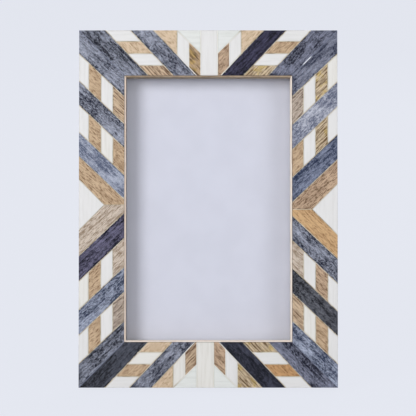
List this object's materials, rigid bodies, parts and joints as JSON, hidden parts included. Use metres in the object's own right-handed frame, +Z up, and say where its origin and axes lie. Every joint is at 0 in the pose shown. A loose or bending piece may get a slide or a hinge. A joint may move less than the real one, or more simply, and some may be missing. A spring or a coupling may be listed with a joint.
{
  "type": "picture frame",
  "caption": "Standing picture frame faced with bone and wood inlay, with glass, a removable back board, an easel leg on a stop hinge, turn buttons and a hanging ring.",
  "frame": {"origin": "middle of the standing frame's footprint box, on the table", "axes": "+Z up, -Y the way the face looks, +X to the right of someone looking at the face"},
  "size_m": [0.139, 0.073, 0.1909],
  "materials": {
    "core_wood": "satin",
    "resin": "satin",
    "white_bone": "satin",
    "dyed_bone": "satin",
    "inlay_wood": "satin",
    "lipping": "satin",
    "glass": "gloss",
    "card": "matte",
    "filler": "matte",
    "board": "matte",
    "brass": "satin",
    "steel": "satin"
  },
  "bodies": {
    "frame": {"rail_top": "core_wood", "rail_bottom": "core_wood", "rail_left": "core_wood", "rail_right": "core_wood", "resin_top": "resin", "resin_bottom": "resin", "resin_left": "resin", "resin_right": "resin", "white_bone_top": "white_bone", "white_bone_bottom": "white_bone", "white_bone_left": "white_bone", "white_bone_right": "white_bone", "dyed_bone_top": "dyed_bone", "dyed_bone_bottom": "dyed_bone", "dyed_bone_left": "dyed_bone", "dyed_bone_right": "dyed_bone", "wood_inlay_top": "inlay_wood", "wood_inlay_bottom": "inlay_wood", "wood_inlay_left": "inlay_wood", "wood_inlay_right": "inlay_wood", "lipping_top": "lipping", "lipping_bottom": "lipping", "lipping_left": "lipping", "lipping_right": "lipping", "corner_nails": "steel", "glass_pane": "glass", "insert_card": "card", "filler_board": "filler", "back_board": "board", "hinge_upper_leaf": "brass", "hinge_pin": "steel", "hinge_upper_rivets": "steel", "turn_button_screws": "steel", "hanger_strap": "brass", "hanger_tack": "steel"},
    "leg": {"easel_leg": "board", "hinge_lower_leaf": "brass", "hinge_lower_rivets": "steel"},
    "ring": {"hanger_ring": "brass"},
    "button_upper_left": {"turn_button_upper_left": "brass"},
    "button_lower_left": {"turn_button_lower_left": "brass"},
    "button_upper_right": {"turn_button_upper_right": "brass"},
    "button_lower_right": {"turn_button_lower_right": "brass"}
  },
  "joints": [
    {"name": "leg_swing", "type": "hinge", "parent": "frame", "child": "leg", "pos_m": [0, 0.00984, 0.11936], "axis": [1, 0, 0], "range_deg": [-25, 0]},
    {"name": "ring_swing", "type": "hinge", "parent": "frame", "child": "ring", "pos_m": [0, 0.01676, 0.15163], "axis": [1, 0, 0], "range_deg": [-12, 166]},
    {"name": "turn_upper_left", "type": "hinge", "parent": "frame", "child": "button_upper_left", "pos_m": [-0.0593, 0.01303, 0.14275], "axis": [0, 0.9744, -0.225], "continuous": true},
    {"name": "turn_lower_left", "type": "hinge", "parent": "frame", "child": "button_lower_left", "pos_m": [-0.0593, -0.00969, 0.04433], "axis": [0, 0.9744, -0.225], "continuous": true},
    {"name": "turn_upper_right", "type": "hinge", "parent": "frame", "child": "button_upper_right", "pos_m": [0.0593, 0.01303, 0.14275], "axis": [0, 0.9744, -0.225], "continuous": true},
    {"name": "turn_lower_right", "type": "hinge", "parent": "frame", "child": "button_lower_right", "pos_m": [0.0593, -0.00969, 0.04433], "axis": [0, 0.9744, -0.225], "continuous": true}
  ]
}
